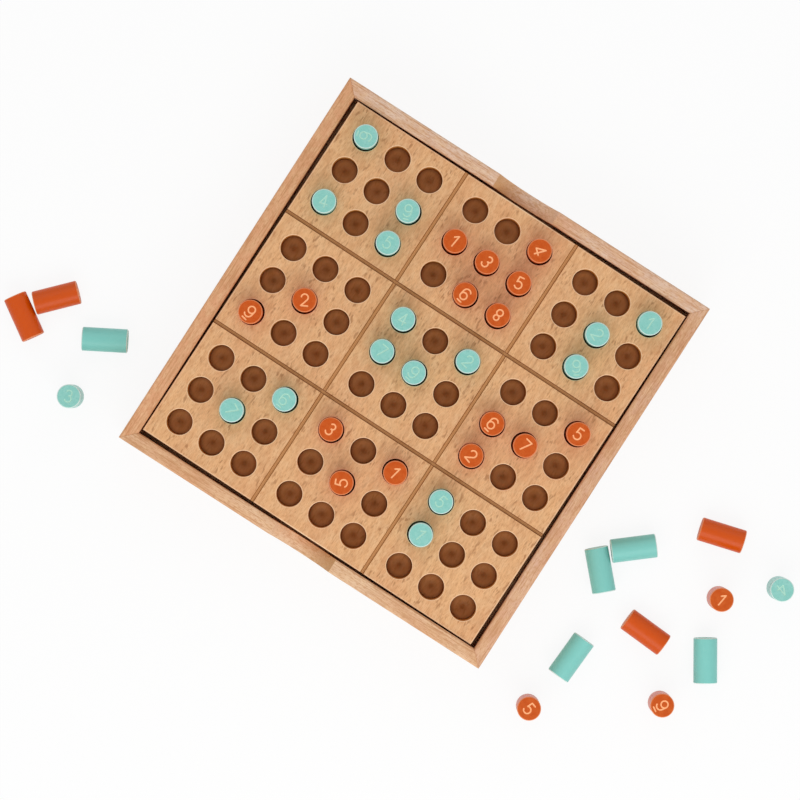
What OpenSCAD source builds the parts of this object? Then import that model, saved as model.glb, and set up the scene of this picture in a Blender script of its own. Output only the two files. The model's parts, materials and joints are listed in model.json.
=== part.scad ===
// Wooden sudoku board: a mitred tray, a lift-out play board with drilled sockets, and round pegs.
// Lengths are millimetres. +Z is up, and the origin is the middle of the tray's underside.
// Rows of sockets count from the back (+Y), and columns from the left (-X).

/* [Sockets and pegs] */
// Diameter of a peg
peg_d = 12; // [8:0.5:15]
// Length of a peg
peg_l = 23; // [16:0.5:30]
// Bevel round each end of a peg
peg_bevel = 0.4; // [0.2:0.1:1.5]
// Room for a peg in its socket, across the diameter
socket_play = 1; // [0.6:0.1:2]
// How much of that room a seated peg is off the middle, as a share
seat_shift_share = 0.7; // [0:0.05:0.8]
// Gap between loose pegs that nearly touch
loose_gap = 0.7; // [0.5:0.1:3]

/* [Play board] */
// Distance between neighbouring sockets in a block
socket_pitch = 19; // [17:0.5:26]
// Extra room between the sockets of neighbouring blocks
block_gap = 8.3; // [4:0.1:16]
// Distance from the outer sockets' centres to the board's edge
edge_margin = 13.2; // [10:0.1:22]
// Thickness of the drilled board, which is also the sockets' depth
board_t = 13; // [9:0.5:15]
// Thickness of the backing glued under it, which closes the sockets
backing_t = 5; // [3:0.5:8]
// Bevel along the board's edges
board_bevel = 0.6; // [0.2:0.1:1.5]
// Width of the half-round grooves between the blocks
groove_w = 2; // [1.2:0.1:4]

/* [Tray] */
// Room between the board and the tray, on each side
board_play = 1.6; // [1:0.1:3]
// How much of that room the board's slight turn takes up, as a share
board_turn_share = 0.55; // [0:0.05:0.8]
// Thickness of the tray's sides
side_t = 7.2; // [6:0.1:12]
// How far the rim stands above the board
rim_lip = 2; // [0.5:0.5:6]
// Bevel along the rim's edges
rim_bevel = 0.7; // [0.2:0.1:1.5]
// Height of the storage space under the board
store_h = 16; // [13:0.5:30]
// Thickness of the base panel
base_t = 4; // [3:0.5:6]
// How far the base panel is let into the sides
rabbet_w = 4; // [2:0.5:5]
// Room round the base panel in its rabbet
base_play = 0.3; // [0.1:0.1:0.6]
// Width of the rails that carry the board
rail_w = 6; // [4:0.5:14]
// Width of a finger notch at the rim
notch_w = 35; // [30:1:60]
// Depth of a finger notch
notch_depth = 12; // [6:0.5:15]

/* [Hidden] */
$fn = 96;
// How far a cut runs past the face that it leaves by
overrun = 1;
beech = "#d3a980";
pale_ply = "#dcbf98";
peg_colours = [["O", "#cd5c21"], ["T", "#91cbc0"]];

// Sockets: blocks along a side, and sockets along a block's side
blocks = 3;
block_sockets = 3;
side_sockets = blocks * block_sockets;
socket_d = peg_d + socket_play;
block_pitch = block_sockets * socket_pitch + block_gap;

// Sizes that follow from the ones above
board_w = (blocks - 1) * block_pitch + (block_sockets - 1) * socket_pitch + 2 * edge_margin;
inner_w = board_w + 2 * board_play;
tray_w = inner_w + 2 * side_t;
base_w = inner_w + 2 * (rabbet_w - base_play);
stack_t = backing_t + board_t;
board_z = base_t + store_h;
tray_h = board_z + stack_t + rim_lip;
socket_z = board_z + backing_t;
seat_shift = seat_shift_share * socket_play / 2;
board_turn = board_turn_share * atan(board_play / (board_w / 2));
notch_r = (pow(notch_w / 2, 2) + pow(notch_depth, 2)) / (2 * notch_depth);

// The sockets from above, back row first. O is an orange peg and T a turquoise one, with the side of the socket
// that the peg stands nearest to, in eighths of a turn from +X towards +Y. An empty socket is a dash.
layout = [
    "T2 -- -- -- -- O3 -- -- T3",
    "-- -- T4 O2 O2 O2 -- T2 --",
    "T1 -- T2 -- O4 O2 -- T2 --",
    "-- -- -- T3 -- T2 -- -- O1",
    "-- O2 -- T3 T4 -- O3 O0 --",
    "O5 -- -- -- -- -- O3 -- --",
    "-- -- T4 O3 -- O7 T3 -- --",
    "-- T3 -- -- O4 -- T0 -- --",
    "-- -- -- -- -- -- -- -- --",
];
cell_letters = 3;
eighth = 360 / 8;

// Loose pegs: the peg whose end it lies across or 0, place, turn in degrees or undef where it stands, colour.
// A place is a pair of shares of the tray's width. Across another peg it is one share of a peg's length along that
// end, and the turn is counted from the other peg's.
loose_peg_shares = [
    [2, 0.226, 100, "O"],
    [0, [-0.811, -0.308], 47, "O"],
    [0, [-0.660, -0.330], 29.5, "T"],
    [0, [-0.655, -0.486], undef, "T"],
    [6, 0.373, 93, "T"],
    [0, [0.663, -0.067], 40, "T"],
    [0, [0.822, 0.072], 15.5, "O"],
    [0, [0.898, -0.057], undef, "O"],
    [0, [1.005, 0.040], undef, "T"],
    [0, [0.794, -0.219], 176.5, "O"],
    [0, [0.678, -0.365], 87, "T"],
    [0, [0.950, -0.199], 122.5, "T"],
    [0, [0.655, -0.518], undef, "O"],
    [0, [0.915, -0.342], undef, "O"],
];

function letter(row, column, place) = layout[row - 1][(column - 1) * cell_letters + place];
function colour_of(name) = peg_colours[search([name], peg_colours)[0]][1];
function seated_name(socket) = str("peg_r", socket[0], "c", socket[1]);
function loose_name(number) = str("loose_peg_", number);
function turned(place, turn) =
    [place.x * cos(turn) - place.y * sin(turn), place.x * sin(turn) + place.y * cos(turn)];

// Rows and columns of the sockets that hold a peg
filled_sockets = [
    for (row = [1 : side_sockets], column = [1 : side_sockets])
        if (letter(row, column, 0) != "-") [row, column]
];

// Where a loose peg's middle is, and its turn, counted from the peg that it lies across if there is one
function loose_place(number) =
    let (row = loose_peg_shares[number - 1], reach = (peg_l + peg_d) / 2 + loose_gap)
    row[0] == 0 ? row[1] * tray_w : loose_place(row[0]) - turned([reach, row[1] * peg_l], loose_turn(row[0]));
function loose_turn(number) =
    let (row = loose_peg_shares[number - 1])
    row[0] == 0 ? row[2] : row[2] + loose_turn(row[0]);

// Place of a row or column, counted from 1, along the board from its middle
function socket_place(count) =
    let (block = floor((count - 1) / block_sockets), step = (count - 1) % block_sockets)
    (block - (blocks - 1) / 2) * block_pitch + (step - (block_sockets - 1) / 2) * socket_pitch;

// Section of a tray side: bevelled rim, and a rabbet for the base panel at the foot of its inner face
module side_section() {
    outer = -tray_w / 2;
    inner = -inner_w / 2;
    polygon([
        [outer, 0],
        [inner - rabbet_w, 0],
        [inner - rabbet_w, base_t],
        [inner, base_t],
        [inner, tray_h - rim_bevel],
        [inner - rim_bevel, tray_h],
        [outer + rim_bevel, tray_h],
        [outer, tray_h - rim_bevel],
    ]);
}

// One side of the tray, at the front, with its ends mitred
module mitred_side() {
    intersection() {
        rotate([90, 0, 90])
            linear_extrude(tray_w + 2 * overrun, center = true)
                side_section();
        translate([0, 0, -overrun])
            linear_extrude(tray_h + 2 * overrun)
                polygon([[-tray_w, -tray_w], [tray_w, -tray_w], [0, 0]]);
    }
}

// A side with an arc cut out of the middle of its rim, for a finger
module notched_side() {
    difference() {
        mitred_side();
        translate([0, -inner_w / 2 + overrun, tray_h - notch_depth + notch_r])
            rotate([90, 0, 0])
                cylinder(r = notch_r, h = side_t + 2 * overrun);
    }
}

module tray_side_front() { color(beech) notched_side(); }
module tray_side_back() { color(beech) rotate(180) notched_side(); }
module tray_side_left() { color(beech) rotate(-90) mitred_side(); }
module tray_side_right() { color(beech) rotate(90) mitred_side(); }

module base_panel() {
    color(pale_ply)
        translate([-base_w / 2, -base_w / 2, 0])
            cube([base_w, base_w, base_t]);
}

// A rail at the front, glued to the side and standing on the base panel
module rail(length) {
    translate([-length / 2, -inner_w / 2, base_t])
        cube([length, rail_w, store_h]);
}

module rail_front() { color(beech) rail(inner_w); }
module rail_back() { color(beech) rotate(180) rail(inner_w); }
module rail_left() { color(beech) rotate(-90) rail(inner_w - 2 * rail_w); }
module rail_right() { color(beech) rotate(90) rail(inner_w - 2 * rail_w); }

// Puts a thing drawn in the board's own frame where the board lies, turned a little in the tray
module as_board_lies() {
    rotate(-board_turn) children();
}

// A long bar of the section of the board and its backing, with all four long edges bevelled
module bevelled_bar() {
    half = board_w / 2;
    rotate([90, 0, 0])
        linear_extrude(board_w + 2 * overrun, center = true)
            polygon([
                [-half + board_bevel, 0],
                [half - board_bevel, 0],
                [half, board_bevel],
                [half, stack_t - board_bevel],
                [half - board_bevel, stack_t],
                [-half + board_bevel, stack_t],
                [-half, stack_t - board_bevel],
                [-half, board_bevel],
            ]);
}

// The layer between two heights of the square plate that the board and its backing make
module plate_layer(low, high) {
    intersection() {
        bevelled_bar();
        rotate(90) bevelled_bar();
        translate([-board_w, -board_w, low])
            cube([2 * board_w, 2 * board_w, high - low]);
    }
}

// The half-round grooves that run across the board between its blocks, one way
module block_grooves() {
    for (groove = [1 : blocks - 1])
        translate([(groove - blocks / 2) * block_pitch, 0, stack_t])
            rotate([90, 0, 0])
                cylinder(d = groove_w, h = board_w + 2 * overrun, center = true);
}

module sockets() {
    for (row = [1 : side_sockets], column = [1 : side_sockets])
        translate([socket_place(column), -socket_place(row), backing_t - overrun])
            cylinder(d = socket_d, h = board_t + 2 * overrun);
}

module play_board() {
    color(beech)
        as_board_lies()
            translate([0, 0, board_z])
                difference() {
                    plate_layer(backing_t, stack_t + overrun);
                    sockets();
                    block_grooves();
                    rotate(90) block_grooves();
                }
}

module board_backing() {
    color(beech)
        as_board_lies()
            translate([0, 0, board_z])
                plate_layer(-overrun, backing_t);
}

// An upright peg that stands on the origin
module peg(colour) {
    radius = peg_d / 2;
    color(colour_of(colour))
        rotate_extrude()
            polygon([
                [0, 0],
                [radius - peg_bevel, 0],
                [radius, peg_bevel],
                [radius, peg_l - peg_bevel],
                [radius - peg_bevel, peg_l],
                [0, peg_l],
            ]);
}

// A peg in its socket, standing on the backing and nearer to one side
module seated_peg(socket) {
    row = socket[0];
    column = socket[1];
    nearest = (ord(letter(row, column, 1)) - ord("0")) * eighth;
    as_board_lies()
        translate([socket_place(column), -socket_place(row), socket_z])
            translate(seat_shift * [cos(nearest), sin(nearest), 0])
                peg(letter(row, column, 0));
}

// A peg on the table beside the tray, standing where it has no turn and lying otherwise
module loose_peg(number) {
    turn = loose_turn(number);
    colour = loose_peg_shares[number - 1][3];
    translate(loose_place(number))
        if (is_undef(turn))
            peg(colour);
        else
            translate([0, 0, peg_d / 2])
                rotate([0, 90, turn])
                    translate([0, 0, -peg_l / 2])
                        peg(colour);
}

tray_side_front();
tray_side_back();
tray_side_left();
tray_side_right();
base_panel();
rail_front();
rail_back();
rail_left();
rail_right();
play_board();
board_backing();
for (socket = filled_sockets)
    seated_peg(socket);
for (number = [1 : len(loose_peg_shares)])
    loose_peg(number);
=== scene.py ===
"""Looks of a wooden sudoku set: beech tray and drilled board, painted digit pegs, light and camera."""

import json
import math
import random

import bmesh
import bpy
import numpy as np
from mathutils import Matrix, Vector

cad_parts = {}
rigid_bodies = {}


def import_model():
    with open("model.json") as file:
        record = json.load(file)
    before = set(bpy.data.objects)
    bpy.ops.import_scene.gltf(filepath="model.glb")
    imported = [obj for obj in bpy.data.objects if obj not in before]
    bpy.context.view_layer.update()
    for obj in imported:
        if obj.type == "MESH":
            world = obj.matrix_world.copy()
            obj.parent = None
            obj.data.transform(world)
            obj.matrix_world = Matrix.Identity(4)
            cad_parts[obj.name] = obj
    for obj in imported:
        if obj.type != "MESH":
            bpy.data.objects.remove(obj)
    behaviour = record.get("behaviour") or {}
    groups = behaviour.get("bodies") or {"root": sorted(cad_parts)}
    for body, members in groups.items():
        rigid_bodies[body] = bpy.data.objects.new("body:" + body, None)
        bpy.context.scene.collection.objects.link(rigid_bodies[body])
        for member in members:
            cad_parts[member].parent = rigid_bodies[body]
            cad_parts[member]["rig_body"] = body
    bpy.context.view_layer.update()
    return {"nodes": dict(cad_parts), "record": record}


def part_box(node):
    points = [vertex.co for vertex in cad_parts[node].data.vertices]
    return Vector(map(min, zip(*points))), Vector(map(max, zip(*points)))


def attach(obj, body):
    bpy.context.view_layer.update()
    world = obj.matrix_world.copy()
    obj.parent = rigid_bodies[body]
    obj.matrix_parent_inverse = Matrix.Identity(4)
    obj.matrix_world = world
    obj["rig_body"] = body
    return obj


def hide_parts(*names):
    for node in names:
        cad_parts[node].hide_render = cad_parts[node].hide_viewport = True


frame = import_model()
scene = bpy.context.scene
nodes = frame["nodes"]

MM = 0.001
UP = Vector((0, 0, 1))

# Camera: straight down on the set, which lies turned on the table. Lens and sensor are in millimetres.
VIEW_TURN = math.radians(32.76)
CAMERA_HEIGHT = 2.1445
CAMERA_LENS = 190.7
CAMERA_SENSOR = 36
CAMERA_REACH = 100
CAMERA_X = 1.26 * MM
CAMERA_Y = -15.11 * MM

# Play board, in its own frame
SOCKET_PITCH = 19 * MM
BLOCK_GAP = 8.3 * MM
EDGE_MARGIN = 13.2 * MM
SOCKET_R = 6.5 * MM
SOCKET_EASE = 0.4 * MM
GROOVE_R = 1.0 * MM
BOARD_EASE = 0.6 * MM
BLOCK_PITCH = 3 * SOCKET_PITCH + BLOCK_GAP
BOARD_HALF = BLOCK_PITCH + SOCKET_PITCH + EDGE_MARGIN
SOCKET_SIDES = 64
ROUND_STEPS = 4
GROOVE_STEPS = 10

# Where the rows or columns of sockets, and the grooves between the blocks, lie from the board's middle
SOCKET_PLACES = [
    (block - 1) * BLOCK_PITCH + (step - 1) * SOCKET_PITCH for block in range(3) for step in range(3)
]
GROOVE_PLACES = [-BLOCK_PITCH / 2, BLOCK_PITCH / 2]

# Decimals of a metre to which places on the board are rounded
GRID_DIGITS = 6
CELL_DIGITS = 4
DEPTH_DIGITS = 7

# Marks that the drill leaves on a socket's floor, then how the floor is darkened
SPUR_W = 0.5 * MM
SPUR_DEPTH = 0.35 * MM
POINT_R = 1.7 * MM
POINT_DEPTH = 0.9 * MM
# Painted shade on the floor towards the wall: where it starts, where it is full, and how dark it is
WALL_SHADE_START = 4.4 * MM
WALL_SHADE_FULL = 6.0 * MM
WALL_SHADE_SHARE = 0.5
# How far from its middle a socket's floor is darker, and how dark it is there
DARK_MIDDLE_R = 3.6 * MM
DARK_MIDDLE_SHARE = 0.46

# Tray. A notch's faces look up by more than the upward share.
SIDE_EASE = 0.25 * MM
SIDE_EASE_STEPS = 2
ROUND_PROFILE = 0.5
NOTCH_HALF = 17.5 * MM
NOTCH_UPWARD_SHARE = 0.1

# Pegs. The axis of an upright one rises by more than the upright share.
PEG_R = 6 * MM
PEG_L = 23 * MM
PEG_EASE = 0.4 * MM
PEG_SIDES = 72
UPRIGHT_SHARE = 0.9

# Digits: round-bottomed strokes cut into the end of a peg
DIGIT_H = 5.9 * MM
STROKE_R = 0.45 * MM
STROKE_DEPTH = 0.25 * MM
STROKE_SIDES = 12
CAP_STEPS = 4
ARC_STEP = math.radians(12)

# Meshes: edges that stay sharp, faces that count as flat, and distances that count as none
SHARP_ANGLE = math.radians(30)
FLAT_ANGLE = math.radians(1)
WELD_DISTANCE = 1e-6
SAME_PLACE = 1e-7

# Digit of each seated peg, and how far it is turned clockwise as the camera sees it, in degrees
SEATED_DIGITS = {
    "r1c1": (6, 110), "r1c6": (4, 75), "r1c9": (1, 35),
    "r2c3": (9, 15), "r2c4": (1, 40), "r2c5": (3, 55), "r2c6": (5, 25), "r2c8": (2, 60),
    "r3c1": (4, 15), "r3c3": (5, 30), "r3c5": (6, 45), "r3c6": (8, 220), "r3c8": (9, 0),
    "r4c4": (4, 25), "r4c6": (2, 45), "r4c9": (5, 35),
    "r5c2": (2, 5), "r5c4": (7, 40), "r5c5": (9, 45), "r5c7": (6, 45), "r5c8": (7, 45),
    "r6c1": (9, 45), "r6c7": (2, 50),
    "r7c3": (6, 40), "r7c4": (3, 45), "r7c6": (1, 45), "r7c7": (5, 45),
    "r8c2": (7, 60), "r8c5": (5, 280), "r8c7": (1, 50),
}
# The same for the loose pegs. A lying peg shows its digit on one end only.
LOOSE_DIGITS = {
    1: (2, 0), 2: (8, 70), 3: (6, 30), 4: (3, 15), 5: (7, 10), 6: (4, 120), 7: (3, 200),
    8: (1, 40), 9: (4, 140), 10: (9, 20), 11: (8, 260), 12: (1, 0), 13: (5, 50), 14: (9, 65),
}


def linear(red, green, blue):
    """A colour given as screen values up to 255, as the linear colour that a shader takes."""
    shares = [value / 255 for value in (red, green, blue)]
    return [s / 12.92 if s <= 0.04045 else ((s + 0.055) / 1.055) ** 2.4 for s in shares] + [1]


# Objects and meshes

def new_object(name, data):
    """A new object in the scene that shows a mesh, lamp or camera."""
    made = bpy.data.objects.new(name, data)
    scene.collection.objects.link(made)
    return made


def plain_mesh(bm, name):
    """Turns a bmesh into a mesh."""
    mesh = bpy.data.meshes.new(name)
    bm.to_mesh(mesh)
    bm.free()
    return mesh


def finished_mesh(bm, name):
    """Turns a bmesh into a mesh that is smooth but for its sharp edges and those marked as sharp."""
    mesh = plain_mesh(bm, name)
    mesh.shade_smooth()
    marked = [edge.index for edge in mesh.edges if edge.use_edge_sharp]
    mesh.set_sharp_from_angle(angle=SHARP_ANGLE)
    for index in marked:
        mesh.edges[index].use_edge_sharp = True
    return mesh


def stand_in(node, mesh):
    """Shows a mesh in place of a node, riding on the node's body."""
    piece = new_object(f"{node}_finish", mesh)
    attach(piece, nodes[node]["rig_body"])
    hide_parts(node)


def full_turn(sides):
    """Angles of the corners of a round shape."""
    return [2 * math.pi * step / sides for step in range(sides)]


def ring(bm, centre, radius, height, sides):
    """A level ring of vertices round a centre."""
    x, y = centre
    return [
        bm.verts.new((x + radius * math.cos(turn), y + radius * math.sin(turn), height))
        for turn in full_turn(sides)
    ]


def join_rings(bm, rings):
    """Bands of faces between rings that follow each other."""
    for one, two in zip(rings, rings[1:]):
        for step in range(len(one)):
            following = (step + 1) % len(one)
            bm.faces.new((one[step], one[following], two[following], two[step]))


# Node trees

class Nodes:
    """A node tree, built with short calls."""

    def __init__(self, tree):
        self.tree = tree

    def add(self, kind, inputs=None, **settings):
        """Adds a node, then sets or links its inputs, which are given by name or number."""
        made = self.tree.nodes.new("ShaderNode" + kind)
        for key, value in settings.items():
            setattr(made, key, value)
        for key, value in (inputs or {}).items():
            self.feed(made.inputs[key], value)
        return made

    def feed(self, socket, value):
        """Links an output to an input, or sets the input's own value."""
        if isinstance(value, bpy.types.NodeSocket):
            self.tree.links.new(value, socket)
        else:
            socket.default_value = value

    def combine(self, operation, first, second):
        """The sum, product or the like of two values."""
        return self.add("Math", {0: first, 1: second}, operation=operation).outputs[0]

    def blend(self, share, first, second):
        """A shader between two shaders."""
        return self.add("MixShader", {0: share, 1: first, 2: second}).outputs[0]

    def show(self, output, shader):
        """Links a shader to an output node of the tree."""
        self.feed(self.tree.nodes[output].inputs["Surface"], shader)


class Shader(Nodes):
    """The node tree of a new material."""

    def __init__(self, name):
        self.material = bpy.data.materials.new(name)
        self.material.use_nodes = True
        super().__init__(self.material.node_tree)
        self.surface = self.tree.nodes["Principled BSDF"]

    def set(self, **inputs):
        """Sets or links inputs of the surface shader, named with _ for a space."""
        for key, value in inputs.items():
            self.feed(self.surface.inputs[key.replace("_", " ")], value)

    def attribute(self, name):
        """The outputs that read one of the mesh's attributes."""
        return self.add("Attribute", attribute_name=name).outputs

    def noise(self, place, scale, detail=3, roughness=0.55):
        """Noise from 0 to 1 at a place, with so many features a metre along each axis."""
        stretched = self.add("Mapping", {"Vector": place, "Scale": scale}).outputs[0]
        inputs = {"Vector": stretched, "Scale": 1.0, "Detail": detail, "Roughness": roughness}
        return self.add("TexNoise", inputs).outputs["Fac"]

    def remap(self, value, low, high, to_low=0.0, to_high=1.0):
        """A value taken smoothly from one range to another."""
        inputs = {"Value": value, "From Min": low, "From Max": high, "To Min": to_low, "To Max": to_high}
        return self.add("MapRange", inputs, interpolation_type="SMOOTHSTEP").outputs[0]

    def mix(self, share, first, second):
        """A colour between two colours, which are the mix node's inputs 6 and 7."""
        inputs = {0: share, 6: first, 7: second}
        return self.add("Mix", inputs, data_type="RGBA").outputs[2]

    def cover(self, colour, other, pattern, start, full, share):
        """A colour covered by another, from none at the pattern's start to a share where it is full."""
        return self.mix(self.remap(pattern, start, full, to_high=share), colour, other)

    def bump(self, height, strength, distance):
        """A normal bent by a height."""
        inputs = {"Height": height, "Strength": strength, "Distance": distance}
        return self.add("Bump", inputs).outputs[0]


# Wood

BEECH_SHADE = linear(188, 129, 81)
BEECH_WARM = linear(222, 158, 112)
BEECH_PALE = linear(235, 193, 147)
BEECH_FLECK = linear(152, 98, 54)
BOARD_TONE = linear(234, 182, 130)
# Dark tone of the socket floors: painted shade towards the walls, and their darker middles
FLOOR_DARK_TONE = linear(114, 56, 8)
FLECK_HEIGHT = -0.6


def toned(red, green, blue, share):
    """The tone of a cut face, with the share of it that covers the wood."""
    return (*linear(red, green, blue)[:3], share)


PLAIN = (1, 1, 1, 0)
# Pale eased edges of the board, the socket rims and the tray pieces: a painted highlight
EASED_HIGHLIGHT = toned(250, 212, 172, share=0.7)
SIDE_EASED_HIGHLIGHT = toned(248, 208, 180, share=0.3)
# Finger notches: painted shade towards one end, painted light towards the other
NOTCH_PAINTED_SHADE = toned(204, 154, 100, share=0.75)
NOTCH_PAINTED_LIGHT = toned(240, 204, 174, share=0.3)
# Wood in the sockets: a darker, redder tone on the wall and floor, partly the drilled wood's own colour and
# partly painted shade in the recess
SOCKET_WALL = toned(216, 149, 62, share=0.9)
SOCKET_FLOOR = toned(187, 132, 55, share=0.65)

# Tones of the grooves, by the axis along which they run: painted shade in the groove, darker at its steep
# edges. The ones along X are darker, partly as they cut across the grain and partly as painted shade
GROOVE_MIDDLE_SHADE = {"X": toned(170, 114, 60, share=0.85), "Y": toned(198, 140, 84, share=0.85)}
GROOVE_EDGE_SHADE = {"X": toned(124, 68, 24, share=0.9), "Y": toned(156, 98, 44, share=0.9)}
GROOVE_EDGE_SHARE = 0.6


def beech_shader(name, tone, direction, warm=0.5, streak=0.4, fleck=0.65, pore=0.6, line=0.12):
    """Beech in a tone, with warm and pale patches, streaks, short flecks, pores and long lines of grain.
    A share says how far each of them covers the tone. Returns the shader and its colour."""
    shader = Shader(name)
    place = shader.add("TexCoord").outputs["Object"]

    def grain(across, along, **settings):
        """Noise with so many features a metre across and along the grain."""
        scale = [along if axis == direction else across for axis in "XYZ"]
        return shader.noise(place, scale, **settings)

    broad = grain(across=40, along=14, detail=2)
    mottle = grain(across=330, along=190, detail=3, roughness=0.6)
    streaks = grain(across=560, along=130, detail=3)
    flecks = grain(across=850, along=270, detail=1)
    patches = grain(across=130, along=80, detail=1)
    pores = grain(across=2400, along=500, detail=2)
    lines = grain(across=1300, along=55, detail=2)
    colour = shader.cover(tone, BEECH_WARM, broad, start=0.35, full=0.7, share=warm)
    colour = shader.cover(colour, BEECH_PALE, mottle, start=0.35, full=0.7, share=0.5)
    colour = shader.cover(colour, BEECH_SHADE, streaks, start=0.35, full=0.75, share=streak)
    in_patches = shader.remap(patches, 0.42, 0.64, to_low=0.12)
    fleck_share = shader.combine("MULTIPLY", shader.remap(flecks, 0.55, 0.7), in_patches)
    colour = shader.mix(shader.combine("MULTIPLY", fleck_share, fleck), colour, BEECH_FLECK)
    colour = shader.cover(colour, BEECH_SHADE, pores, start=0.45, full=0.75, share=pore)
    colour = shader.cover(colour, BEECH_SHADE, lines, start=0.45, full=0.72, share=line)
    cut = shader.attribute("cut_tone")
    colour = shader.mix(cut["Alpha"], colour, cut["Color"])
    height = shader.combine("ADD", shader.combine("MULTIPLY", fleck_share, FLECK_HEIGHT), pores)
    rough = shader.remap(streaks, 0.3, 0.7, to_low=0.42, to_high=0.58)
    shader.set(Base_Color=colour, Roughness=rough, Specular_IOR_Level=0.3)
    shader.set(Normal=shader.bump(height, strength=0.12, distance=0.08 * MM))
    return shader, colour


def beech(name, tone, direction, **shares):
    """The material of plain beech."""
    return beech_shader(name, tone, direction, **shares)[0].material


def backing_wood():
    """Beech of the backing, darkened on the socket floors: painted shade towards the walls, and darker in
    the middles.
    """
    shader, colour = beech_shader("backing_beech", BOARD_TONE, "Y")
    # Painted shade towards the socket walls, and the darker middles
    darkening = shader.attribute("floor_shade_and_dark_middle")["Fac"]
    shader.set(Base_Color=shader.mix(darkening, colour, FLOOR_DARK_TONE))
    return shader.material


# Board and backing

def top_drop(place):
    """How far the board's top lies below its plane, at a place along one side."""
    for groove in GROOVE_PLACES:
        if abs(place - groove) < GROOVE_R:
            return math.sqrt(GROOVE_R**2 - (place - groove) ** 2)
    inset = BOARD_EASE - (BOARD_HALF - abs(place))
    if inset > 0:
        return BOARD_EASE - math.sqrt(max(BOARD_EASE**2 - inset**2, 0))
    return 0.0


def nearest(place, places):
    """Distance along one side to the nearest of some places."""
    return min(abs(place - other) for other in places)


def socket_radius(place):
    """Distance of a place on the board from the middle of the nearest socket."""
    return math.hypot(nearest(place.x, SOCKET_PLACES), nearest(place.y, SOCKET_PLACES))


def board_tone(place, top):
    """Tone of a face of the board and the share of it that shows, by where the face lies."""
    depth = round(top - place.z, DEPTH_DIGITS)
    offsets = {"X": nearest(place.y, GROOVE_PLACES), "Y": nearest(place.x, GROOVE_PLACES)}
    for along, offset in offsets.items():
        if offset < GROOVE_R and 0 < depth < GROOVE_R:
            # Painted shade in the groove, darker at its edges
            tones = GROOVE_EDGE_SHADE if offset > GROOVE_EDGE_SHARE * GROOVE_R else GROOVE_MIDDLE_SHADE
            return tones[along]
    # Painted highlight on the board's eased edges, and below it on the socket rims
    if 0 < depth < BOARD_EASE and max(abs(place.x), abs(place.y)) > BOARD_HALF - BOARD_EASE:
        return EASED_HIGHLIGHT
    # A socket's eased rim gets the painted highlight; its wall gets a darker tone, partly painted shade in
    # the recess
    if 0 < depth and socket_radius(place) < SOCKET_R + SOCKET_EASE:
        return EASED_HIGHLIGHT if depth < SOCKET_EASE else SOCKET_WALL
    return PLAIN


def tone_faces(bm, tone_of):
    """Gives each face its tone and share, which tone_of works out from the face."""
    tone = bm.faces.layers.float_color.new("cut_tone")
    for face in bm.faces:
        face[tone] = tone_of(face)


def grid_lines():
    """Lines of the board's grid along one side: borders of the socket cells, grooves and eased edges."""
    lines = [place + side * SOCKET_PITCH / 2 for place in SOCKET_PLACES for side in (-1, 1)]
    for groove in GROOVE_PLACES:
        for step in range(GROOVE_STEPS + 1):
            turn = math.pi * (step / GROOVE_STEPS - 0.5)
            lines.append(groove + GROOVE_R * math.sin(turn))
    for step in range(ROUND_STEPS + 1):
        inset = BOARD_EASE * (1 - math.sin(math.pi / 2 * step / ROUND_STEPS))
        lines += [BOARD_HALF - inset, inset - BOARD_HALF]
    return sorted({round(line, GRID_DIGITS) for line in lines})


def socket_centre(lines, i, j):
    """Middle of a cell of the board's grid, or None where the cell has no socket."""
    places = {round(place, CELL_DIGITS) for place in SOCKET_PLACES}
    x = (lines[i] + lines[i + 1]) / 2
    y = (lines[j] + lines[j + 1]) / 2
    wide = min(lines[i + 1] - lines[i], lines[j + 1] - lines[j]) > 2 * SOCKET_R
    in_place = round(x, CELL_DIGITS) in places and round(y, CELL_DIGITS) in places
    return (x, y) if wide and in_place else None


def cell_to_ring(bm, corners, edge):
    """Four flat faces between a square cell's corners, counted from its lower left, and a ring in it."""
    quarter = SOCKET_SIDES // 4
    for side in range(4):
        first = corners[(side + 1) % 4]
        second = corners[(side + 2) % 4]
        start = quarter // 2 + quarter * side
        arc = [edge[(start - step) % SOCKET_SIDES] for step in range(quarter + 1)]
        bm.faces.new([first, second] + arc)


def close_ring(bm, edge, place):
    """A fan of faces from a ring to a place in its middle."""
    middle = bm.verts.new(place)
    for step in range(len(edge)):
        bm.faces.new((edge[step], edge[(step + 1) % len(edge)], middle))


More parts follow.
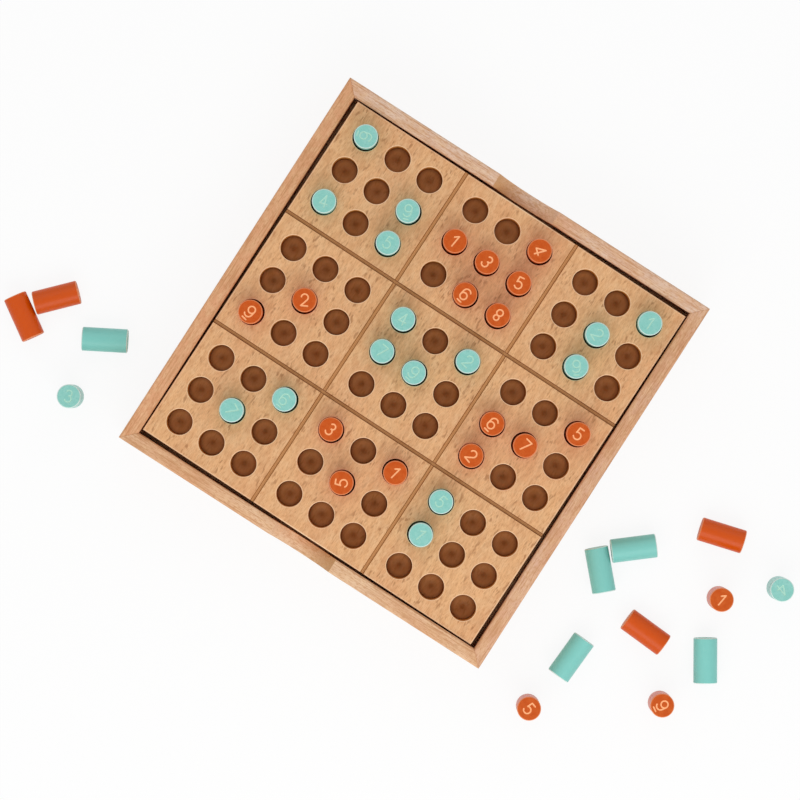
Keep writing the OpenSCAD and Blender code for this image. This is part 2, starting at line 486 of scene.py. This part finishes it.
def plate(bm, drop, top, bottom, socket_profile, floor_depth=None):
    """A square plate on the board's grid, with a socket in each cell that has one.
    socket_profile gives radius and depth of a socket's rings from the top inwards.
    floor_depth is the depth of the middle of its floor. With none, the socket goes right through."""
    lines = grid_lines()
    last = len(lines) - 1
    upper = [[bm.verts.new((x, y, top - max(drop(x), drop(y)))) for y in lines] for x in lines]
    lower = [[bm.verts.new((x, y, bottom)) for y in lines] for x in lines]
    for i in range(last):
        for j in range(last):
            over = [upper[i][j], upper[i + 1][j], upper[i + 1][j + 1], upper[i][j + 1]]
            under = [lower[i][j], lower[i + 1][j], lower[i + 1][j + 1], lower[i][j + 1]]
            centre = socket_centre(lines, i, j)
            if centre is None:
                bm.faces.new(over)
                bm.faces.new(under)
                continue
            rings = [ring(bm, centre, r, top - depth, SOCKET_SIDES) for r, depth in socket_profile]
            cell_to_ring(bm, over, rings[0])
            join_rings(bm, rings)
            if floor_depth is None:
                cell_to_ring(bm, under, rings[-1])
            else:
                bm.faces.new(under)
                close_ring(bm, rings[-1], (*centre, top - floor_depth))
    for k in range(last):
        for (i, j), (m, n) in (
            ((k, 0), (k + 1, 0)),
            ((last, k), (last, k + 1)),
            ((k, last), (k + 1, last)),
            ((0, k), (0, k + 1)),
        ):
            bm.faces.new((upper[i][j], lower[i][j], lower[m][n], upper[m][n]))
    bmesh.ops.recalc_face_normals(bm, faces=bm.faces)


def flat_edges_sharp(bm, height):
    """Marks the border of the flat top as sharp, so that the eased edges don't shade it."""
    for edge in bm.edges:
        level = [all(abs(v.co.z - height) < SAME_PLACE for v in face.verts) for face in edge.link_faces]
        if len(level) == 2 and level[0] != level[1]:
            edge.smooth = False


def board_turn():
    """How the board lies in the tray, from two sockets of its front row."""
    places = {m["name"]: Vector(m["pos_m"]) for m in frame["record"]["mounts"]}
    along = places["socket_r9c9"] - places["socket_r9c1"]
    return Matrix.Rotation(math.atan2(along.y, along.x), 4, "Z")


def make_board():
    """The drilled board, with eased socket rims and edges."""
    low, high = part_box("play_board")
    profile = []
    for step in range(ROUND_STEPS + 1):
        turn = math.pi / 2 * step / ROUND_STEPS
        reach = SOCKET_EASE * (1 - math.sin(turn))
        profile.append((SOCKET_R + reach, SOCKET_EASE * (1 - math.cos(turn))))
    profile.append((SOCKET_R, high.z - low.z))
    bm = bmesh.new()
    plate(bm, top_drop, high.z, low.z, profile)
    flat_edges_sharp(bm, high.z)
    tone_faces(bm, lambda face: board_tone(face.calc_center_median(), high.z))
    bm.transform(board_turn())
    mesh = finished_mesh(bm, "board")
    mesh.materials.append(beech("board_beech", BOARD_TONE, "Y"))
    stand_in("play_board", mesh)


def floor_shade_and_dark_middle(radius):
    """How dark a socket's floor is painted, at a radius from its middle: painted shade towards the wall,
    and darker in the middle.
    """
    wall_shade = min((radius - WALL_SHADE_START) / (WALL_SHADE_FULL - WALL_SHADE_START), 1.0)
    return max(WALL_SHADE_SHARE * wall_shade, DARK_MIDDLE_SHARE * (1 - radius / DARK_MIDDLE_R), 0.0)


def floor_tone(face):
    """Tone of a face of the backing. It is darker on the floors of the sockets, partly the drilled wood's
    own colour and partly painted shade.
    """
    is_floor = face.normal.z > 0 and socket_radius(face.calc_center_median()) < SOCKET_R
    return SOCKET_FLOOR if is_floor else PLAIN


def make_backing():
    """The backing under the board. The drill's spurs and point have marked it in each socket. Its socket
    floors are darkened: painted shade towards the wall, and a darker middle.
    """
    low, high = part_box("board_backing")
    spur_bottom = SOCKET_R - SPUR_W / 2
    spur_end = SOCKET_R - SPUR_W
    profile = [
        (SOCKET_R, 0.0), (spur_bottom, SPUR_DEPTH), (spur_end, 0.0), (WALL_SHADE_START, 0.0),
        (DARK_MIDDLE_R, 0.0), (POINT_R, 0.0), (POINT_R / 2, POINT_DEPTH / 3),
    ]
    bm = bmesh.new()
    plate(bm, lambda place: 0.0, high.z, low.z, profile, floor_depth=POINT_DEPTH)
    darkening = bm.verts.layers.float.new("floor_shade_and_dark_middle")
    # Painted shade towards each socket's wall, and its darker middle
    for vert in bm.verts:
        vert[darkening] = floor_shade_and_dark_middle(socket_radius(vert.co))
    tone_faces(bm, floor_tone)
    bm.transform(board_turn())
    mesh = finished_mesh(bm, "backing")
    mesh.materials.append(backing_wood())
    stand_in("board_backing", mesh)


# Tray

# Axis of the grain and tone of each side, and how much of each feature of the wood the sides show
SIDE_TONES = {
    "tray_side_front": ("X", linear(237, 200, 164)),
    "tray_side_back": ("X", linear(232, 206, 186)),
    "tray_side_left": ("Y", linear(225, 166, 124)),
    "tray_side_right": ("Y", linear(225, 183, 156)),
}
SIDE_SHARES = {"warm": 0.8, "streak": 0.3, "fleck": 0.2, "pore": 0.75, "line": 0.7}

# End of a side's notch, along X, that gets painted shade; the other end gets painted light
SHADED_NOTCH_END = {"tray_side_front": 1, "tray_side_back": -1}

# Hidden pieces
RAIL_GRAIN = {"rail_front": "X", "rail_back": "X", "rail_left": "Y", "rail_right": "Y"}
RAIL_TONE = linear(214, 160, 112)
BASE_TONE = linear(226, 196, 156)
BASE_FLECK = 0.15


def notch_tone(node, face):
    """Tone of a face of a tray piece. A finger notch, which cuts across the grain, gets painted shade
    towards one end and painted light towards the other.
    """
    place = face.calc_center_median()
    if node not in SHADED_NOTCH_END or face.normal.z < NOTCH_UPWARD_SHARE or abs(place.x) > NOTCH_HALF:
        return PLAIN
    lean = place.x / NOTCH_HALF * SHADED_NOTCH_END[node]
    # Painted shade towards one end, painted light towards the other
    red, green, blue, share = NOTCH_PAINTED_SHADE if lean > 0 else NOTCH_PAINTED_LIGHT
    return (red, green, blue, share * abs(lean))


def eased_copy(node, material):
    """Shows a copy of a node's solid with its edges eased."""
    bm = bmesh.new()
    bm.from_mesh(nodes[node].data)
    bmesh.ops.remove_doubles(bm, verts=bm.verts, dist=WELD_DISTANCE)
    bmesh.ops.dissolve_limit(bm, angle_limit=FLAT_ANGLE, verts=bm.verts, edges=bm.edges)
    eased = bmesh.ops.bevel(
        bm,
        geom=[edge for edge in bm.edges if edge.calc_face_angle(0) > SHARP_ANGLE],
        offset=SIDE_EASE,
        segments=SIDE_EASE_STEPS,
        profile=ROUND_PROFILE,
        affect="EDGES",
        clamp_overlap=True,
    )
    rounded = set(eased["faces"])
    # Painted highlight on the eased edges
    tone_faces(bm, lambda face: SIDE_EASED_HIGHLIGHT if face in rounded else notch_tone(node, face))
    mesh = finished_mesh(bm, node)
    mesh.materials.clear()
    mesh.materials.append(material)
    stand_in(node, mesh)


def make_tray():
    """The tray's sides, rails and base panel."""
    for node, (direction, tone) in SIDE_TONES.items():
        eased_copy(node, beech(f"{node}_beech", tone, direction, **SIDE_SHARES))
    for node, direction in RAIL_GRAIN.items():
        eased_copy(node, beech(f"{node}_beech", RAIL_TONE, direction))
    eased_copy("base_panel", beech("base_birch", BASE_TONE, "X", fleck=BASE_FLECK))


# Digits, in units of their height

def arc(x, y, radius, start, end):
    """Points along an arc between two angles in degrees."""
    start, end = math.radians(start), math.radians(end)
    steps = max(2, round(abs(end - start) / ARC_STEP))
    turns = [start + (end - start) * step / steps for step in range(steps + 1)]
    return [(x + radius * math.cos(turn), y + radius * math.sin(turn)) for turn in turns]


# A nine is a six turned upside down, and the bar under both tells them apart
DIGIT_W = 0.6
DIGIT_MIDDLE = Vector((DIGIT_W / 2, 0.5))
SIX = [arc(0.33, 0.67, 0.33, 35, 180) + [(0, 0.3)], arc(0.3, 0.3, 0.3, 180, 540)]
BAR = [(0.1, -0.23), (0.5, -0.23)]
STROKES = {
    1: [[(0.07, 0.72), (0.36, 1)], [(0.36, 1), (0.36, 0)]],
    2: [arc(0.31, 0.7, 0.29, 170, -35) + [(0.03, 0)], [(0.03, 0), (0.6, 0)]],
    3: [arc(0.28, 0.76, 0.24, 150, -80), arc(0.28, 0.27, 0.28, 80, -150)],
    4: [[(0.42, 0), (0.42, 1)], [(0.42, 1), (0, 0.27)], [(0, 0.27), (0.62, 0.27)]],
    5: [[(0.52, 1), (0.13, 1)], [(0.13, 1), (0.08, 0.54)], arc(0.28, 0.31, 0.31, 130, -150)],
    6: SIX + [BAR],
    7: [[(0, 1), (0.58, 1)], [(0.58, 1), (0.2, 0)]],
    8: [arc(0.3, 0.765, 0.225, 0, 360), arc(0.3, 0.27, 0.27, 0, 360)],
    9: [[(DIGIT_W - x, 1 - y) for x, y in stroke] for stroke in SIX] + [BAR],
}


def round_end(point, direction, radius, side):
    """Rings of a stroke's round end, outwards from its last point, ahead (1) or behind (-1)."""
    rings = []
    for step in range(1, CAP_STEPS):
        turn = math.pi / 2 * step / CAP_STEPS
        centre = point + side * direction * radius * math.sin(turn)
        rings.append((centre, direction, radius * math.cos(turn)))
    return rings


def tube_rings(points):
    """Centre, direction and radius of each ring along a stroke, and whether it is a closed loop.
    An open stroke has round ends."""
    closed = (points[0] - points[-1]).length < SAME_PLACE
    if closed:
        points = points[:-1]
    count = len(points)
    rings = []
    for k, point in enumerate(points):
        before = points[(k - 1) % count] if closed or k > 0 else point
        after = points[(k + 1) % count] if closed or k < count - 1 else point
        rings.append((point, (after - before).normalized(), STROKE_R))
    if not closed:
        start = round_end(*rings[0], -1)
        end = round_end(*rings[-1], 1)
        rings = start[::-1] + rings + end
    return rings, closed


def stroke_mesh(stroke, height):
    """A round tube along one stroke of a digit, at a height."""
    points = [((Vector(p) - DIGIT_MIDDLE) * DIGIT_H).to_3d() + Vector((0, 0, height)) for p in stroke]
    rings, closed = tube_rings(points)
    bm = bmesh.new()
    loops = []
    for centre, direction, radius in rings:
        side = direction.cross(UP)
        arms = [math.cos(turn) * side + math.sin(turn) * UP for turn in full_turn(STROKE_SIDES)]
        loops.append([bm.verts.new(centre + radius * arm) for arm in arms])
    if closed:
        join_rings(bm, loops + loops[:1])
    else:
        join_rings(bm, loops)
        bm.faces.new(loops[0])
        bm.faces.new(loops[-1])
    bmesh.ops.recalc_face_normals(bm, faces=bm.faces)
    return plain_mesh(bm, "stroke")


# Pegs

# Tones of the paint on a peg's ends, where it is worn, of the painted highlight on its rims, and on its
# sides, made fuller as painted light
PEG_PAINTS = {
    "orange": {
        "tone": linear(200, 80, 0),
        "worn": linear(222, 112, 44),
        "rim": linear(238, 148, 98),
        "side": linear(212, 80, 0),
    },
    "turquoise": {
        "tone": linear(138, 204, 193),
        "worn": linear(172, 222, 212),
        "rim": linear(222, 240, 234),
        "side": linear(128, 205, 196),
    },
}
# Shares of the grain's darkening, of the sides' painted light and of the rims' painted highlight, and how
# much glossier the sides are
PAINT_GRAIN_SHADE = 0.75
PAINT_SIDE_SHARE = 0.8
PAINT_RIM_HIGHLIGHT_SHARE = 0.85
PAINT_SIDE_GLOSS = 0.12

# Tones of the bare wood in a digit
PEG_NUMERALS = {
    "orange": {"tone": linear(255, 186, 132), "shade": linear(250, 160, 104)},
    "turquoise": {"tone": linear(176, 222, 204), "shade": linear(160, 216, 202)},
}

# How far the grain of each peg is shifted, so that no two look alike
GRAIN_SEED = 5
GRAIN_SHIFT = 1.0


def paint(name, tone, worn, rim, side):
    """Satin paint on turned wood: mottled on the ends, pale on the rims as a painted highlight, and fuller
    on the sides as painted light.
    """
    shader = Shader(name)
    place = shader.attribute("peg_place")["Vector"]
    on_side = shader.attribute("peg_side")["Fac"]
    on_rim = shader.attribute("peg_rim")["Fac"]
    mottle = shader.noise(place, (420, 420, 420))
    grain = shader.noise(place, (1500, 1500, 130))
    specks = shader.noise(place, (1300, 1300, 1300), detail=1)
    dark = [PAINT_GRAIN_SHADE * part for part in tone[:3]] + [1]
    colour = shader.cover(tone, worn, mottle, start=0.35, full=0.7, share=0.3)
    colour = shader.cover(colour, worn, specks, start=0.6, full=0.75, share=0.3)
    colour = shader.cover(colour, dark, grain, start=0.5, full=0.75, share=0.5)
    # Painted light: a fuller colour on the sides
    colour = shader.mix(shader.combine("MULTIPLY", on_side, PAINT_SIDE_SHARE), colour, side)
    # Painted highlight on the rims
    colour = shader.mix(shader.combine("MULTIPLY", on_rim, PAINT_RIM_HIGHLIGHT_SHARE), colour, rim)
    rough = shader.remap(mottle, 0.3, 0.7, to_low=0.4, to_high=0.5)
    rough = shader.combine("SUBTRACT", rough, shader.combine("MULTIPLY", on_side, PAINT_SIDE_GLOSS))
    shader.set(Base_Color=colour, Roughness=rough, Specular_IOR_Level=0.25)
    strength = shader.remap(on_side, 0, 1, to_low=0.06, to_high=0.01)
    shader.set(Normal=shader.bump(grain, strength, distance=0.06 * MM))
    return shader.material


def numeral(name, tone, shade):
    """Bare wood in the bottom of a cut digit."""
    shader = Shader(name)
    place = shader.attribute("peg_place")["Vector"]
    speckle = shader.noise(place, (1500, 1500, 600), detail=2)
    colour = shader.cover(tone, shade, speckle, start=0.4, full=0.75, share=0.5)
    shader.set(Base_Color=colour, Roughness=0.65)
    return shader.material


def peg_profile():
    """Radius and height from the foot of a peg to its top, with bevelled ends."""
    foot = [(PEG_R - PEG_EASE, -PEG_L / 2), (PEG_R, -PEG_L / 2 + PEG_EASE)]
    return foot + [(radius, -height) for radius, height in reversed(foot)]


def blank_mesh():
    """A turned peg with no digit, upright, its middle at the origin."""
    bm = bmesh.new()
    rings = [ring(bm, (0, 0), radius, height, PEG_SIDES) for radius, height in peg_profile()]
    join_rings(bm, rings)
    bm.faces.new(list(reversed(rings[0])))
    bm.faces.new(rings[-1])
    bmesh.ops.recalc_face_normals(bm, faces=bm.faces)
    return plain_mesh(bm, "blank")


def engraved_mesh(digit, blank, painted, bare):
    """A peg with a digit cut into its top, in the materials of its painted and its bare wood."""
    peg = new_object("peg_to_cut", blank.copy())
    peg.data.materials.append(painted)
    tools = []
    for stroke in STROKES[digit]:
        tool = new_object("cutter", stroke_mesh(stroke, PEG_L / 2 + STROKE_R - STROKE_DEPTH))
        tool.data.materials.append(bare)
        cut = peg.modifiers.new("cut", "BOOLEAN")
        cut.operation = "DIFFERENCE"
        cut.solver = "EXACT"
        cut.material_mode = "TRANSFER"
        cut.object = tool
        tools.append(tool)
    bpy.context.view_layer.update()
    mesh = bpy.data.meshes.new_from_object(peg.evaluated_get(bpy.context.evaluated_depsgraph_get()))
    for made in [peg] + tools:
        bpy.data.objects.remove(made)
    mesh.shade_smooth()
    mesh.set_sharp_from_angle(angle=SHARP_ANGLE)
    return mesh


def peg_axis(node):
    """Middle and direction of a peg's node. A peg stands upright or lies level."""
    low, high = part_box(node)
    places = np.array([v.co for v in nodes[node].data.vertices], float)
    axis = np.linalg.svd(places - places.mean(0), full_matrices=False)[2][0]
    upright = abs(axis[2]) > UPRIGHT_SHARE
    axis = UP if upright else Vector((axis[0], axis[1], 0)).normalized()
    return (low + high) / 2, axis


def mark_peg(mesh, offset):
    """Gives a peg the attributes that its paint reads: a shifted place, and which faces are rim or side."""
    places = np.array([v.co for v in mesh.vertices], float) + offset
    mesh.attributes.new("peg_place", "FLOAT_VECTOR", "POINT").data.foreach_set("vector", places.ravel())
    middles = np.array([face.center for face in mesh.polygons], float)
    # Faces of the rims, which get a painted highlight
    inset = np.abs(np.abs(middles[:, 2]) - (PEG_L - PEG_EASE) / 2)
    rim = (inset < PEG_EASE / 4) & (np.hypot(middles[:, 0], middles[:, 1]) > PEG_R - PEG_EASE)
    side = np.abs(middles[:, 2]) < PEG_L / 2 - PEG_EASE
    for name, part in (("peg_rim", rim), ("peg_side", side)):
        mesh.attributes.new(name, "FLOAT", "FACE").data.foreach_set("value", part.astype(float))


def place_peg(node, mesh, materials, screen_turn, offset):
    """Puts a peg with its digit where its node is."""
    middle, axis = peg_axis(node)
    mesh = mesh.copy()
    for k, material in enumerate(materials):
        mesh.materials[k] = material
    mark_peg(mesh, offset)
    turn = Matrix.Rotation(VIEW_TURN - math.radians(screen_turn), 4, "Z")
    stand = UP.rotation_difference(axis).to_matrix().to_4x4()
    mesh.transform(Matrix.Translation(middle) @ stand @ turn)
    stand_in(node, mesh)


def make_pegs():
    """Every peg, with its colour and digit. Each digit is cut once, and its copies change colour."""
    finishes = {}
    for colour in PEG_PAINTS:
        painted = paint(f"{colour}_paint", **PEG_PAINTS[colour])
        bare = numeral(f"{colour}_numeral", **PEG_NUMERALS[colour])
        finishes[f"peg_{colour}"] = (painted, bare)
    slots = {part["node"]: part["material_slot"] for part in frame["record"]["subparts"]}
    blank = blank_mesh()
    meshes = {digit: engraved_mesh(digit, blank, *finishes["peg_orange"]) for digit in STROKES}
    wanted = {f"peg_{name}": found for name, found in SEATED_DIGITS.items()}
    wanted.update({f"loose_peg_{number}": found for number, found in LOOSE_DIGITS.items()})
    draw = random.Random(GRAIN_SEED)
    for node, (digit, turn) in wanted.items():
        offset = [draw.uniform(-GRAIN_SHIFT, GRAIN_SHIFT) for _ in range(3)]
        place_peg(node, meshes[digit], finishes[slots[node]], turn, offset)


# Floor, light and camera

WHITE = (1, 1, 1, 1)
FLOOR_TONE = linear(245, 245, 245)
FLOOR_HALF = 6.0
FLOOR_DROP = 0.1 * MM
FLOOR_SHADOW_SHARE = 0.12
FILL_SHARE = 0.64
TOP_SHARE = 0.08
BOTTOM_SHARE = 0.31
SOFTBOX_SIZE = (1.1, 0.6)
SOFTBOX_OUT = 0.7
SOFTBOX_UP = 0.7


def background_rays(tree_nodes):
    """Output that is 1 for rays that see the background: the camera's, mirrored and let through ones."""
    path = tree_nodes.add("LightPath").outputs
    share = path["Is Camera Ray"]
    for kind in ("Is Glossy Ray", "Is Transmission Ray"):
        share = tree_nodes.combine("MAXIMUM", share, path[kind])
    return share


def make_floor():
    """A white floor that shows only the faintest of shadows."""
    bm = bmesh.new()
    corners = [(-1, -1), (1, -1), (1, 1), (-1, 1)]
    bm.faces.new([bm.verts.new((x * FLOOR_HALF, y * FLOOR_HALF, -FLOOR_DROP)) for x, y in corners])
    mesh = plain_mesh(bm, "floor")
    shader = Shader("white_floor")
    shader.set(Base_Color=FLOOR_TONE, Roughness=0.9, Specular_IOR_Level=0.0)
    white = shader.add("Emission", {"Color": WHITE, "Strength": 1.0})
    share = shader.combine("MULTIPLY", background_rays(shader), 1 - FLOOR_SHADOW_SHARE)
    shader.show("Material Output", shader.blend(share, shader.surface.outputs[0], white.outputs[0]))
    mesh.materials.append(shader.material)
    new_object("floor", mesh)


def make_fill():
    """Even light from all round, which the camera sees as white."""
    world = bpy.data.worlds.new("studio")
    world.use_nodes = True
    scene.world = world
    studio = Nodes(world.node_tree)
    fill = studio.tree.nodes["Background"]
    studio.feed(fill.inputs["Color"], WHITE)
    studio.feed(fill.inputs["Strength"], FILL_SHARE)
    white = studio.add("Background", {"Color": WHITE, "Strength": 1.0})
    studio.show("World Output", studio.blend(background_rays(studio), fill.outputs[0], white.outputs[0]))


def make_softbox(name, side, share):
    """A softbox towards the top (1) or bottom (-1) of the picture.
    Its power lights a face that looks up to a share of white."""
    lamp = bpy.data.lights.new(name, "AREA")
    lamp.shape = "RECTANGLE"
    lamp.size, lamp.size_y = SOFTBOX_SIZE
    place = Matrix.Rotation(VIEW_TURN, 4, "Z") @ Vector((0, side * SOFTBOX_OUT, SOFTBOX_UP))
    reach = place.length
    lamp.energy = share * math.pi**2 * reach**2 / (SOFTBOX_UP / reach)
    holder = new_object(name, lamp)
    holder.location = place
    holder.rotation_mode = "QUATERNION"
    holder.rotation_quaternion = (-place).to_track_quat("-Z", "Y")


def make_camera():
    """A camera straight above the set."""
    lens = bpy.data.cameras.new("camera")
    lens.lens = CAMERA_LENS
    lens.sensor_width = CAMERA_SENSOR
    lens.clip_end = CAMERA_REACH
    camera = new_object("camera", lens)
    camera.location = (CAMERA_X, CAMERA_Y, CAMERA_HEIGHT)
    camera.rotation_euler = (0, 0, VIEW_TURN)
    scene.camera = camera


make_board()
make_backing()
make_tray()
make_pegs()
make_floor()
make_fill()
make_softbox("softbox_top", 1, TOP_SHARE)
make_softbox("softbox_bottom", -1, BOTTOM_SHARE)
make_camera()
scene.view_settings.view_transform = "Standard"
